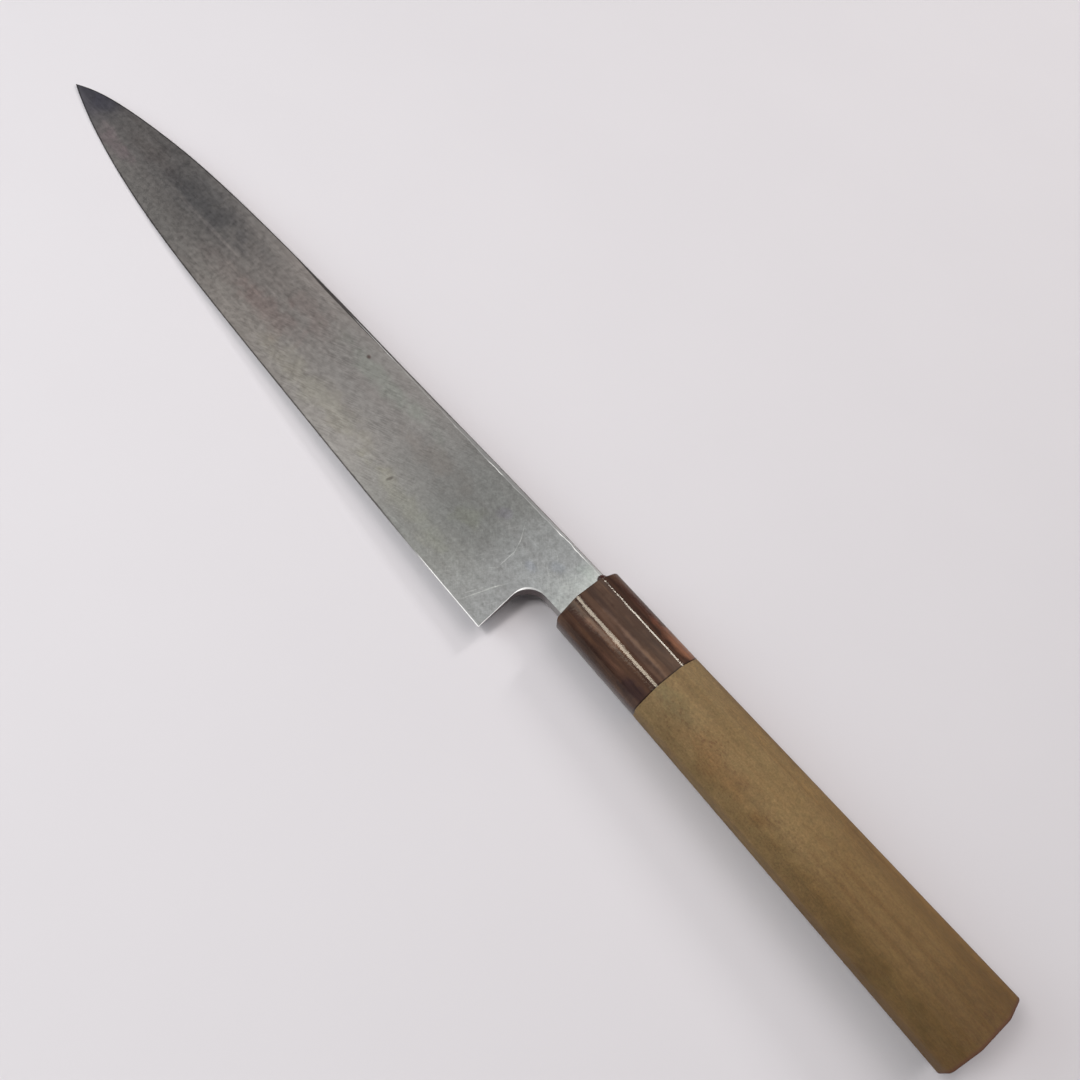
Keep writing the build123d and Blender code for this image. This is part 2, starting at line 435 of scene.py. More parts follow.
# Stretches along the blade in mm: where each starts, is full, begins to fade and ends
PALE_STRETCH = (-208, -180, -135, -95)
SLANTING_STROKES = (-160, -118, -60, -30)
DARK_LINE_SWELLS = (-146, -126, -112, -88)
BRIGHT_LINE = (-124, -100, 5, 10)
BRIGHT_LINE_BITS = [(-50, -47, -44, -42), (-22, -18, -11, -6), (-118, -108, -98, -90)]
MANY_SPECKS = (-142, -134, -122, -115)
FEWER_SPECKS = (-112, -108, -98, -90)

# Marks on the back: x, y, length and width in mm, angle in degrees, tint, strength
BACK_STAINS = [
    (-180, -6.0, 66, 17, 2, (0.78, 0.79, 0.81), 0.9),
    (-178, -7.4, 44, 8, 3, (0.86, 0.87, 0.89), 0.9),
    (-174, -10.6, 60, 1.5, 2, (1.36, 1.33, 1.31), 0.9),
    (-150, -13.4, 40, 1.3, 2, (1.16, 1.15, 1.14), 0.8),
    (-222, -14.2, 30, 3.2, -1, (1.24, 1.17, 1.20), 0.8),
    (-218, -16.5, 24, 8, 14, (1.06, 0.96, 1.02), 0.8),
    (-238, -9.5, 20, 9, 10, (0.86, 0.87, 0.94), 0.8),
    (-207, -8.0, 30, 8, 4, (0.92, 0.88, 0.86), 0.6),
    (-152, -15.0, 40, 8, 2, (0.94, 0.90, 0.90), 0.7),
    (-132, -13.5, 34, 12, 2, (1.00, 0.92, 0.92), 0.8),
    (-121, -4.5, 28, 11, 3, (0.98, 0.92, 0.92), 0.8),
    (-96, -19.0, 66, 11, 2, (1.0, 1.0, 0.94), 0.9),
    (-88, -2.0, 60, 8, 1, (0.95, 1.01, 0.97), 0.9),
    (-58, -6.0, 32, 10, 0, (0.98, 0.95, 0.93), 0.8),
    (-50, -21.0, 40, 8, -2, (1.03, 1.03, 0.96), 0.8),
    (-41.0, -24.3, 13, 1.8, 0, (1.14, 1.14, 1.12), 0.7),
    (-38.9, -9.8, 12, 8, 30, (1.00, 1.02, 0.90), 0.6),
    (-33.4, -1.3, 5.5, 4, 20, (0.90, 0.86, 0.97), 0.7),
    (-16.6, -5.9, 6, 3, 10, (0.88, 0.90, 0.98), 0.7),
    (-11.8, -0.4, 6, 4, 30, (0.90, 0.93, 1.00), 0.6),
    (-6.0, 4.5, 8, 6, 0, (0.98, 1.03, 1.00), 0.8),
    (-98.8, -0.1, 2.2, 1.7, 0, (0.42, 0.30, 0.30), 0.9),
    (-61.6, -19.5, 2.4, 1.0, 80, (0.45, 0.42, 0.42), 0.8),
]

# Scratches on the back, thin and brighter than the patina
BACK_SCRATCHES = [
    (-25.6, -1.0, 8, 0.34, -53, (1.45, 1.45, 1.43), 0.8),
    (-23.2, -4.8, 8, 0.34, -64, (1.45, 1.45, 1.43), 0.8),
    (-22.1, -9.0, 9, 0.36, -83, (1.5, 1.5, 1.48), 0.9),
    (-18.8, -21.3, 13, 0.4, 73, (1.5, 1.5, 1.46), 0.9),
    (-17.6, -17.2, 9, 0.3, 66, (1.4, 1.4, 1.36), 0.8),
    (-20.4, -22.6, 9, 0.3, 70, (1.4, 1.4, 1.36), 0.7),
    (-22.0, -13.6, 6, 0.25, 56, (1.35, 1.35, 1.32), 0.7),
    (-26.0, -14.6, 7, 0.25, 84, (1.35, 1.35, 1.32), 0.6),
    (-12.2, -3.2, 5, 0.25, -30, (1.3, 1.3, 1.28), 0.7),
    (-14.4, 1.8, 5, 0.25, -24, (1.3, 1.3, 1.28), 0.7),
    (-30.5, -19.0, 6, 0.3, 50, (1.30, 1.30, 1.27), 0.6),
]


def blade_outline(side):
    """The line of the spine (side 1) or the edge (side -1), as places and heights from 0 to 1."""
    points = [v.co.xy for name in BLADE_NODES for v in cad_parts[name].data.vertices]
    points = [p for p in points if p.x <= START.x]
    ring = [points[i] for i in convex_hull_2d(points)]
    nearest = OUTLINE_MARGIN if side > 0 else HEEL_GAP + 2 * OUTLINE_MARGIN
    line = []
    for step in range(OUTLINE_STEPS + 1):
        share = 1 - (1 - step / OUTLINE_STEPS) ** OUTLINE_CROWDING
        reach = min(max(share * BLADE_REACH, nearest), BLADE_REACH - OUTLINE_MARGIN)
        x = START.x - reach * MM
        crossed = [
            a.y + (b.y - a.y) * (x - a.x) / (b.x - a.x)
            for a, b in zip(ring, ring[1:] + ring[:1])
            if min(a.x, b.x) < x <= max(a.x, b.x)
        ]
        height = (max(crossed) if side > 0 else min(crossed)) - AXIS_Y
        line.append((share, (height / MM - OUTLINE_LOW) / (OUTLINE_HIGH - OUTLINE_LOW)))
    return line


def line_height(tree, along, line):
    """The height in mm of a drawn line at each place along the blade."""
    node = add_node(tree, "ShaderNodeFloatCurve", {"Value": along})
    curve = node.mapping.curves[0]
    curve.points[0].location, curve.points[-1].location = line[0], line[-1]
    for place in line[1:-1]:
        curve.points.new(*place)
    node.mapping.update()
    return calc(tree, "MULTIPLY_ADD", node.outputs[0], OUTLINE_HIGH - OUTLINE_LOW, OUTLINE_LOW)


def add_strokes(tree, place, x):
    """Grinding strokes: slanting ones in the middle of the blade, crossing brush marks near the heel."""
    lengthwise = streaks(tree, place, 0.02, 26.0, 0.8, shift=5.0, low=0.35)
    strokes = product(tree, lengthwise, 0.35)
    patches = rise(tree, noise(tree, place, 9.0, detail=2.0), 0.38, 0.62, -0.3, -1.0)
    middle = product(tree, stretch(tree, x, *SLANTING_STROKES), patches)
    slanting = streaks(tree, place, math.radians(24), 3.6, 0.42, low=0.42, high=0.62)
    strokes = add_share(tree, strokes, slanting, middle)
    heel = product(tree, rise(tree, x, -52, -28), 0.9)
    for angle, shift in ((64, 7.0), (-38, 2.0)):
        brush = streaks(tree, place, math.radians(angle), 4.0, 0.24, shift=shift, low=0.5, high=0.75)
        strokes = add_share(tree, strokes, brush, heel)
    return strokes


def paint_patina(tree, place, x, along, across, from_spine, blotch):
    """The patina: a tone along the blade, paler near its two sides, with stains and clouds over it."""
    colour = colour_ramp(tree, add_share(tree, along, centred(tree, blotch), 0.08), PATINA_ALONG)
    near_edge = product(tree, rise(tree, across, 0.52, 0.12), rise(tree, along, 0.03, 0.14))
    colour = tint(tree, near_edge, colour, PALER_NEAR_EDGE)
    near_spine = product(tree, rise(tree, from_spine, 6.5, 1.0), stretch(tree, x, *PALE_STRETCH))
    colour = tint(tree, near_spine, colour, PALER_NEAR_SPINE)
    colour = paint_marks(tree, place, colour, BACK_STAINS, ragged_edge(tree, place, 6.0, 2.4))
    cloud = streaks(tree, place, 0.04, 40.0, 5.0, shift=3.1, low=0.38, high=0.66)
    return tint(tree, product(tree, cloud, 0.6), colour, CLOUD_TONE)


def paint_specks(tree, place, x, y, colour, blotch):
    """Paints dark specks, mostly in two stretches low on the back."""
    zone = product(tree, stretch(tree, x, *FEWER_SPECKS), 0.6)
    zone = largest(tree, stretch(tree, x, *MANY_SPECKS), zone)
    zone = product(tree, zone, rise(tree, y, -11, -14), rise(tree, y, -23, -20))
    zone = largest(tree, zone, rise(tree, blotch, 0.62, 0.72, 0.0, 0.5))
    mask = product(tree, specks(tree, place, 2.2, 0.3, share=0.45), zone, 0.6)
    return tint(tree, mask, colour, SPECK_TONE)


def paint_spine_lines(tree, colour, x, chips, on_back, from_spine):
    """Paints a band near the ferrule, a dark line of painted shade that swells in the middle, and a bright
    broken line that is a painted highlight on partly polished metal.

    The bright line's mask comes back as well.
    """
    # How many mm inside the spine the bright line runs; the band lies outside it
    line_at = calc(tree, "ADD", rise(tree, x, -110, -48, 0.75, 1.35), rise(tree, x, -45, -12, 0.0, -0.4))
    wobble = product(tree, centred(tree, chips), rise(tree, x, -90, -20, 0.3, 1.0))
    from_line = calc(tree, "SUBTRACT", from_spine, calc(tree, "ADD", line_at, wobble))
    band = product(tree, rise(tree, from_line, 0.1, -0.1), on_back, rise(tree, x, -80, -50), 0.5)
    colour = paint(tree, band, colour, SPINE_BAND)

    # Painted shade: the dark line along the spine's outer rim
    swelling = calc(tree, "ADD", stretch(tree, x, *DARK_LINE_SWELLS), rise(tree, x, -60, -75, 0.0, 0.22))
    past_dark = calc(tree, "SUBTRACT", from_spine, add_share(tree, 0.42, swelling, 0.6))
    dark = product(tree, rise(tree, past_dark, 0.12, -0.06), rise(tree, x, -52, -75), on_back, 0.85)
    colour = paint(tree, dark, colour, SPINE_SHADE_LINE)

    # Painted highlight: the bright broken line along the rim's inner shoulder
    half = rise(tree, chips, 0.4, 0.7, 0.02, 0.09)
    line = rise(tree, calc(tree, "ABSOLUTE", from_line), calc(tree, "ADD", half, 0.12), half)
    bits = [stretch(tree, x, *bit) for bit in BRIGHT_LINE_BITS]
    bits = largest(tree, *bits, rise(tree, chips, 0.6, 0.72, 0.0, 0.4))
    line = product(tree, line, stretch(tree, x, *BRIGHT_LINE), add_share(tree, 0.2, bits, 0.8), on_back)
    return paint(tree, product(tree, line, 0.9), colour, SPINE_HIGHLIGHT_LINE), line


def paint_spine(tree, colour, x, facing_up, from_spine):
    """Paints the rounded spine: brown near the ferrule, greyer in the middle, bright towards the tip."""
    rounded = product(tree, rise(tree, from_spine, 0.38, 0.2), rise(tree, facing_up, -0.2, 0.2), 0.9)
    tone = colour_ramp(tree, calc(tree, "DIVIDE", x, -BLADE_REACH), SPINE_ALONG)
    return paint(tree, rounded, colour, tone)


def paint_edge(tree, colour, x, chips, on_back, from_edge):
    """Paints the edge, with a painted highlight near the heel and a dark thin line further on; tells where
    the highlight is.
    """
    # Painted highlight along the edge near the heel
    bright = product(tree, rise(tree, from_edge, 0.32, 0.14), rise(tree, x, -41, -33), on_back)
    colour = paint(tree, product(tree, bright, 0.95), colour, EDGE_HIGHLIGHT)
    dark = rise(tree, add_share(tree, from_edge, chips, 0.5), 0.85, 0.5)
    dark = product(tree, dark, rise(tree, x, -36, -60), on_back, 0.8)
    return paint(tree, dark, colour, DARK_EDGE), bright


def paint_notch(tree, colour, x, y, chips, on_back, facing_up):
    """Paints a highlight on the notch's corner and painted shade on its wall; tells where the corner's
    highlight is.
    """
    lean = -math.tan(math.radians(HEEL_LEAN))
    heel_line = add_share(tree, -HEEL_GAP, calc(tree, "ADD", y, HEEL_DROP), lean)
    beside = calc(tree, "ADD", calc(tree, "SUBTRACT", heel_line, x), CHOIL_RADIUS)
    beside = calc(tree, "MAXIMUM", beside, 0.0)
    above = calc(tree, "MAXIMUM", calc(tree, "ADD", y, NECK_DROP + CHOIL_RADIUS), 0.0)
    distance = calc(tree, "ADD", calc(tree, "POWER", beside, 2.0), calc(tree, "POWER", above, 2.0))
    distance = calc(tree, "SUBTRACT", calc(tree, "SQRT", distance), CHOIL_RADIUS)
    # Painted highlight along the notch's corner; the mask named worn is this highlight
    width = rise(tree, chips, 0.35, 0.7, 0.14, 0.3)
    worn = product(tree, rise(tree, distance, width, product(tree, width, 0.4)), on_back)
    worn = product(tree, worn, rise(tree, x, -6.5, -9.5), rise(tree, y, -8.6, -12.5, 0.2, 1.0))
    colour = paint(tree, product(tree, worn, 0.9), colour, EDGE_HIGHLIGHT)
    # Painted shade on the wall of the notch and the neck
    wall = product(tree, rise(tree, facing_up, 0.5, 0.2), rise(tree, facing_up, -0.5, -0.2))
    wall = product(tree, wall, rise(tree, x, -26, -20), 0.8)
    wall_shade = paint(tree, rise(tree, x, -9.0, -5.0), NOTCH_WALL_SHADE, NECK_UNDERSIDE_SHADE)
    return paint(tree, wall, colour, wall_shade), worn


def make_blade_group():
    """The whole surface of the blade, shared by its two metals so that it runs on across the weld."""
    tree, source, sink = new_group(
        "Blade surface",
        {
            "Place": ("Vector", None),
            "Facing": ("Vector", None),
            "Metal": ("Color", (0.6, 0.6, 0.58, 1)),
            "Patina": ("Float", 1.0),
            "Strokes": ("Float", 1.0),
        },
        {"Color": "Color", "Roughness": "Float", "Height": "Float"},
    )
    place = source["Place"]
    x, y, _ = separate(tree, place)
    facing_up = separate(tree, source["Facing"])[2]
    along = calc(tree, "DIVIDE", x, -BLADE_REACH)
    spine = line_height(tree, along, blade_outline(1))
    edge = line_height(tree, along, blade_outline(-1))
    from_spine = calc(tree, "SUBTRACT", spine, y)
    from_edge = calc(tree, "SUBTRACT", y, edge)
    across = calc(tree, "DIVIDE", from_edge, calc(tree, "SUBTRACT", spine, edge))
    blotch = noise(tree, place, 16.0, detail=4.0)
    colour = paint_patina(tree, place, x, along, across, from_spine, blotch)

    # Strokes and fine grain, which is drawn out along the blade towards the tip and round near the heel
    strokes = add_strokes(tree, place, x)
    drawn = streaks(tree, place, 0.05, 6.0, 0.7, shift=2.0, low=0.1, high=0.9)
    rounder = calc(tree, "SUBTRACT", noise(tree, place, 0.7, roughness=0.6), drawn)
    grain = add_share(tree, drawn, rounder, rise(tree, x, -150, -70))
    mottle = noise(tree, place, 1.8, detail=4.0, roughness=0.6)
    shade = add_share(tree, 0.93, product(tree, strokes, source["Strokes"]), 0.17)
    shade = add_share(tree, shade, centred(tree, grain), rise(tree, x, -120, -16, 0.2, 0.62))
    shade = add_share(tree, shade, centred(tree, mottle), rise(tree, x, -60, -14, 0.06, 0.7))
    colour = shade_by(tree, colour, shade)
    colour = paint_specks(tree, place, x, y, colour, blotch)
    colour = paint_marks(tree, place, colour, BACK_SCRATCHES, ragged_edge(tree, place, 2.0, 1.2))
    colour = paint(tree, calc(tree, "SUBTRACT", 1.0, source["Patina"]), colour, source["Metal"])

    # The bevelled side is cleaner, and the two metals differ there
    below = rise(tree, facing_up, -0.3, -0.7, 0.0, 0.7)
    colour = paint(tree, below, colour, shade_by(tree, source["Metal"], shade))

    # Lines along the spine, the edge and the notch: the bright ones are painted highlights, also made a
    # little less rough, and the spine's dark line and the notch's wall are painted shade
    on_back = rise(tree, facing_up, 0.9, 0.97)
    chips = noise(tree, place, 6.0)
    colour, line = paint_spine_lines(tree, colour, x, chips, on_back, from_spine)
    colour = paint_spine(tree, colour, x, facing_up, from_spine)
    colour, bright_edge = paint_edge(tree, colour, x, chips, on_back, from_edge)
    colour, notch_highlight = paint_notch(tree, colour, x, y, chips, on_back, facing_up)
    highlights_and_polish = largest(tree, line, notch_highlight, bright_edge)
    feed(tree, sink["Color"], colour)
    rough = rise(tree, mottle, 0.3, 0.7, 0.38, 0.48)
    feed(tree, sink["Roughness"], calc(tree, "SUBTRACT", rough, product(tree, highlights_and_polish, 0.06)))
    height = product(tree, add_share(tree, strokes, grain, 0.5), source["Strokes"])
    feed(tree, sink["Height"], height)


def make_blade_material(name, look, iron):
    """One of the blade's two metals."""
    material, tree, shader, place = new_material(name)
    inputs = {
        "Place": place,
        "Facing": add_node(tree, "ShaderNodeTexCoord").outputs["Normal"],
        "Metal": look.iron if iron else look.steel,
        "Patina": look.patina,
        "Strokes": look.strokes,
    }
    surface = place_group(tree, "Blade surface", inputs)
    feed(tree, shader.inputs["Base Color"], surface["Color"])
    feed(tree, shader.inputs["Roughness"], surface["Roughness"])
    shader.inputs["Metallic"].default_value = 1.0
    add_bump(tree, shader, surface["Height"], STROKE_DEPTH)
    return material


# Facets of the handle

# Half the section's height and thickness in mm, at the ferrule's front, the joint and the butt, and the
# share of each half that a slanting facet cuts off
HALF_HEIGHTS = (10.55, 10.72, 12.2)
HALF_THICKNESSES = (8.6, 8.72, 9.85)
CORNER_SHARE = 0.293


def facet_weight(tree, beyond, softness):
    """How much a facet counts for the normal at a place that lies so many mm beyond its plane."""
    return calc(tree, "EXPONENT", calc(tree, "DIVIDE", beyond, softness))


def make_facet_group():
    """The normal of an eight-sided handle whose facets run into each other with rounded corners."""
    tree, source, sink = new_group(
        "Handle facets",
        {"Place": ("Vector", None), "Softness": ("Float", 0.5), "End softness": ("Float", 0.12)},
        {"Normal": "Vector"},
    )
    x, y, z = separate(tree, source["Place"])
    z = calc(tree, "SUBTRACT", z, (AXIS_Z - START.z) / MM)
    halves = []
    for at_front, at_joint, at_butt in (HALF_HEIGHTS, HALF_THICKNESSES):
        near = slope(tree, x, 0.0, FERRULE_LENGTH, 0.0, at_joint - at_front)
        far = slope(tree, x, FERRULE_LENGTH, HANDLE_LENGTH, at_front, at_butt - at_joint + at_front)
        halves.append(calc(tree, "ADD", near, far))
    high, thick = halves
    off_y = calc(tree, "ABSOLUTE", y)
    off_z = calc(tree, "ABSOLUTE", z)
    diagonal = calc(tree, "MULTIPLY_ADD", high, high, calc(tree, "MULTIPLY", thick, thick))
    diagonal = calc(tree, "SQRT", diagonal)
    reach = calc(tree, "MULTIPLY_ADD", thick, off_y, calc(tree, "MULTIPLY", high, off_z))
    corner = product(tree, high, thick, 2 * (1 - CORNER_SHARE))
    slanted = calc(tree, "DIVIDE", calc(tree, "SUBTRACT", reach, corner), diagonal)
    soft, end_soft = source["Softness"], source["End softness"]
    side = facet_weight(tree, calc(tree, "SUBTRACT", off_y, high), soft)
    flat = facet_weight(tree, calc(tree, "SUBTRACT", off_z, thick), soft)
    slant = calc(tree, "DIVIDE", facet_weight(tree, slanted, soft), diagonal)
    butt = facet_weight(tree, calc(tree, "SUBTRACT", x, HANDLE_LENGTH), end_soft)
    front = facet_weight(tree, calc(tree, "MULTIPLY", x, -1.0), end_soft)
    normal = combine(
        tree,
        calc(tree, "SUBTRACT", butt, front),
        calc(tree, "MULTIPLY", calc(tree, "SIGN", y), calc(tree, "MULTIPLY_ADD", slant, thick, side)),
        calc(tree, "MULTIPLY", calc(tree, "SIGN", z), calc(tree, "MULTIPLY_ADD", slant, high, flat)),
    )
    settings = {"vector_type": "NORMAL", "convert_from": "OBJECT", "convert_to": "WORLD"}
    turned = add_node(tree, "ShaderNodeVectorTransform", {0: normal}, **settings).outputs[0]
    feed(tree, sink["Normal"], vector_calc(tree, "NORMALIZE", turned))


def facet_normal(tree, place, softness):
    """The handle's facets with corners rounded by that many mm, as the ground that a bump lies on."""
    return place_group(tree, "Handle facets", {"Place": place, "Softness": softness})[0]


# Horn ferrule

HORN_FLECKS = srgb(40, 26, 22)
HORN_JOINT = srgb(30, 20, 17)
HORN_SHINE = 0.23
HORN_RELIEF = 0.01

# Streaks in the horn, with painted light and shade on some facets: x, y, length and width in mm, angle in
# degrees, tint, strength
HORN_STREAKS_AND_PAINTED_LIGHT = [
    (12.0, -5.4, 20, 2.2, 3, (2.4, 2.5, 2.4), 0.8),
    (20.0, -8.2, 16, 1.8, 0, (2.0, 1.9, 1.8), 0.6),
    (6.0, -6.6, 12, 2.4, 5, (1.6, 1.5, 1.4), 0.6),
    (20.0, -2.2, 30, 2.0, 0, (1.5, 1.55, 1.6), 0.6),
    (24.0, 0.0, 20, 5.0, -3, (1.35, 1.4, 1.3), 0.7),
    # Painted highlight: a glow beside the lower highlight line
    (20.0, -0.8, 38, 1.8, 0, (1.9, 2.1, 2.2), 0.9),
    (26.0, 8.8, 22, 5.4, 0, (3.9, 3.3, 2.7), 0.9),
    (12.0, 8.4, 24, 4.2, 0, (0.78, 0.6, 0.66), 0.8),
    # Painted shade on the top facet
    (12.0, 3.2, 30, 4.2, 2, (0.52, 0.42, 0.42), 0.9),
    (28.0, -8.8, 13, 5.0, 0, (0.55, 0.62, 0.9), 0.8),
    # Painted shade on the lowest facet of the edge's side
    (12.0, -10.0, 40, 3.6, 0, (0.56, 0.54, 0.58), 0.9),
]


def make_horn_material(look):
    """Dark polished buffalo horn with amber streaks along it."""
    material, tree, shader, place = new_material("polished_horn")
    x, y, _ = separate(tree, place)
    broad = streaks(tree, place, 0.04, 22.0, 3.0, shift=1.7, low=0.36, high=0.66)
    colour = paint(tree, broad, look.horn, look.horn_light)
    # Paints the streaks, with a painted glow beside the lower highlight and painted shade on the top and
    # lowest facets
    colour = paint_marks(tree, place, colour, HORN_STREAKS_AND_PAINTED_LIGHT, ragged_edge(tree, place, 3.0, 1.6))
    fine = streaks(tree, place, -0.02, 14.0, 0.7, shift=6.1, low=0.48, high=0.72)
    colour = paint(tree, product(tree, fine, 0.16), colour, look.amber)
    flecks = specks(tree, place, 1.5, 0.3, share=0.45, stretched=4.0)
    colour = paint(tree, product(tree, flecks, 0.35), colour, HORN_FLECKS)
    joint = rise(tree, x, FERRULE_LENGTH - 0.55, FERRULE_LENGTH - 0.15)
    colour = paint(tree, product(tree, joint, 0.8), colour, HORN_JOINT)
    feed(tree, shader.inputs["Base Color"], colour)
    smudge = noise(tree, place, 3.0, detail=4.0)
    feed(tree, shader.inputs["Roughness"], rise(tree, smudge, 0.3, 0.7, 0.06, 0.12))
    shader.inputs["Specular IOR Level"].default_value = HORN_SHINE
    shader.inputs["Specular Tint"].default_value = (*look.shine, 1)

    # Ripples and strands left by the polishing, which break up the highlights
    ripple = streaks(tree, place, 1.4, 2.6, 0.6, shift=4.0, detail=1.0, low=0.2, high=0.8)
    strands = streaks(tree, place, 0.03, 9.0, 0.35, shift=9.0, detail=2.0, low=0.2, high=0.8)
    relief = add_share(tree, add_share(tree, ripple, strands, 0.6), fine, 0.3)
    softness = rise(tree, y, 2.0, -1.5, 0.5, 0.8)
    add_bump(tree, shader, relief, HORN_RELIEF, facet_normal(tree, place, softness))
    return material


# Wooden handle

WOOD_TINGE = (0.93, 1.0, 0.98)
# Painted shade on the butt's end face
BUTT_END_SHADE = srgb(92, 58, 46)
WOOD_SHINE = 0.22
WOOD_RELIEF = 0.02
WOOD_SOFTNESS = 0.7

# Colour of the wood from the joint (0) to the butt (1)
WOOD_ALONG = [
    (0.00, srgb(129, 105, 71)),
    (0.35, srgb(128, 102, 66)),
    (0.60, srgb(117, 90, 55)),
    (1.00, srgb(100, 74, 42)),
]

# Zones of the wood, with painted shade and painted light on some facets: x, y, length and width in mm,
# angle in degrees, tint, strength
WOOD_ZONES_AND_FACET_LIGHT = [
    (38, -4.0, 22, 6, -4, (0.80, 0.90, 0.92), 0.8),
    (56, -6.0, 44, 8, -3, (0.96, 0.84, 0.77), 0.8),
    # Painted shade on the lowest facets of the edge's side
    (84, -9.6, 210, 6.4, 0, (0.80, 0.80, 0.77), 0.9),
    # Painted light on the slanting facet of the spine's side, in this line and the next
    (94, 9.8, 110, 5.5, 2, (1.16, 1.13, 1.06), 0.9),
    (122, 10.8, 90, 4.0, 2, (1.16, 1.14, 1.08), 0.9),
    (52, 2.6, 70, 5.0, 0, (0.92, 0.92, 0.88), 0.8),
    (138, 1.6, 70, 8.0, 0, (0.90, 0.88, 0.84), 0.8),
    (96, -8.4, 60, 6, -2, (0.90, 0.86, 0.82), 0.7),
    (112, -9.0, 66, 6.5, 0, (0.93, 0.95, 0.90), 0.8),
    (118, 5.6, 50, 3.0, -2, (1.05, 1.03, 0.98), 0.6),
    (60, 6.2, 60, 3.4, 0, (1.06, 1.04, 1.00), 0.6),
]

# Soft brown growth lines along the wood, with less ragged edges
WOOD_LINES = [
    (52, 10.3, 64, 2.2, 1, (0.88, 0.82, 0.82), 0.8),
    (94, 9.4, 38, 1.2, 1, (0.80, 0.74, 0.70), 0.9),
    (69, 6.4, 34, 1.2, 1, (0.86, 0.82, 0.79), 0.8),
    (40, 3.2, 28, 1.0, 0, (0.90, 0.86, 0.84), 0.7),
    (106, 0.5, 74, 2.2, 1, (0.85, 0.81, 0.78), 0.9),
    (109, -3.7, 70, 2.4, 0, (0.83, 0.78, 0.75), 0.9),
    (62, -0.4, 40, 1.2, 0, (0.92, 0.89, 0.86), 0.7),
]

# Where the wood's figure shows as flecks: x, y, length and width in mm, strength
WOOD_FIGURES = [
    (52.0, -4.0, 32.0, 7.0, 1.0),
    (78.0, -4.6, 34.0, 4.0, 0.6),
    (36.0, -6.0, 14.0, 5.0, 0.6),
]


def make_wood_material(look):
    """Worn magnolia wood: soft growth lines, short fibres and a figure of darker flecks."""
    material, tree, shader, place = new_material("handle_magnolia")
    x = separate(tree, place)[0]
    from_joint = calc(tree, "SUBTRACT", x, FERRULE_LENGTH)
    along = calc(tree, "DIVIDE", from_joint, HANDLE_LENGTH - FERRULE_LENGTH)
    blotch = noise(tree, place, 16.0, detail=4.0)
    colour = colour_ramp(tree, add_share(tree, along, centred(tree, blotch), 0.5), WOOD_ALONG)
    ragged = ragged_edge(tree, place, 7.0, 2.0)
    # Paints the zones, with painted shade low on the edge's side and painted light on the spine's side
    colour = paint_marks(tree, place, colour, WOOD_ZONES_AND_FACET_LIGHT, ragged)
    colour = paint_marks(tree, place, colour, WOOD_LINES, ragged_edge(tree, place, 9.0, 0.8))
    bands = streaks(tree, place, -0.03, 60.0, 2.6, shift=2.2, low=0.42, high=0.66)
    colour = paint(tree, product(tree, bands, 0.3), colour, look.wood_dark)

    # Fibres, and grain and speckle that fade towards the butt
    fibres = streaks(tree, place, -0.03, 2.4, 0.6, shift=4.4, detail=4.0)
    grain = noise(tree, place, 0.5, roughness=0.7)
    speckle = noise(tree, place, 1.5, roughness=0.7)
    shade = add_share(tree, 0.92, fibres, 0.16)
    shade = add_share(tree, shade, centred(tree, grain), rise(tree, x, 80, 110, 1.1, 0.6))
    shade = add_share(tree, shade, centred(tree, speckle), rise(tree, x, 80, 110, 0.4, 0.25))
    colour = shade_by(tree, colour, shade)
    tinge = rise(tree, noise(tree, place, 1.3, detail=4.0, roughness=0.7), 0.42, 0.62)
    colour = tint(tree, product(tree, tinge, 0.5), colour, WOOD_TINGE)

    # The figure's flecks, which are also a little sunken, and painted shade on the butt's end face
    figure = product(tree, rise(tree, blotch, 0.5, 0.66), 0.5)
    for mark_x, mark_y, length, width, strength in WOOD_FIGURES:
        mask = spot(tree, place, mark_x, mark_y, length, width, 0.0, ragged)
        figure = largest(tree, figure, product(tree, mask, strength))
    pores = product(tree, specks(tree, place, 0.7, 0.4, share=0.8, stretched=1.5), figure)
    colour = paint(tree, product(tree, pores, 0.45), colour, look.wood_red)
    butt = rise(tree, x, HANDLE_LENGTH - 1.3, HANDLE_LENGTH - 0.3)
    colour = paint(tree, product(tree, butt, 0.75), colour, BUTT_END_SHADE)
    feed(tree, shader.inputs["Base Color"], colour)
    feed(tree, shader.inputs["Roughness"], rise(tree, grain, 0.3, 0.7, 0.56, 0.7))
    shader.inputs["Specular IOR Level"].default_value = WOOD_SHINE
    relief = calc(tree, "SUBTRACT", fibres, pores)
    add_bump(tree, shader, relief, WOOD_RELIEF, facet_normal(tree, place, WOOD_SOFTNESS))
    return material


# Resin

RESIN_LIGHTER = srgb(74, 40, 34)
RESIN_RELIEF = 0.12


def make_resin_material(look):
    """Dark red-brown resin, smooth from melting."""
    material, tree, shader, place = new_material("dark_resin")
    cloud = rise(tree, noise(tree, place, 1.2, detail=4.0), 0.35, 0.7)
    feed(tree, shader.inputs["Base Color"], paint(tree, cloud, look.resin, RESIN_LIGHTER))
    feed(tree, shader.inputs["Roughness"], rise(tree, cloud, 0.0, 1.0, 0.2, 0.38))
    add_bump(tree, shader, noise(tree, place, 0.9), RESIN_RELIEF)
    return material


# Settings that a user would change

def colour_setting(name, description, default):
    """A colour in the sidebar."""
    return FloatVectorProperty(
        name=name, description=description, subtype="COLOR", size=3, min=0.0, max=1.0, default=default
    )


def power_setting(name, description, default):
    """A lamp's power in the sidebar."""
    return FloatProperty(name=name, description=description, unit="POWER", default=default)


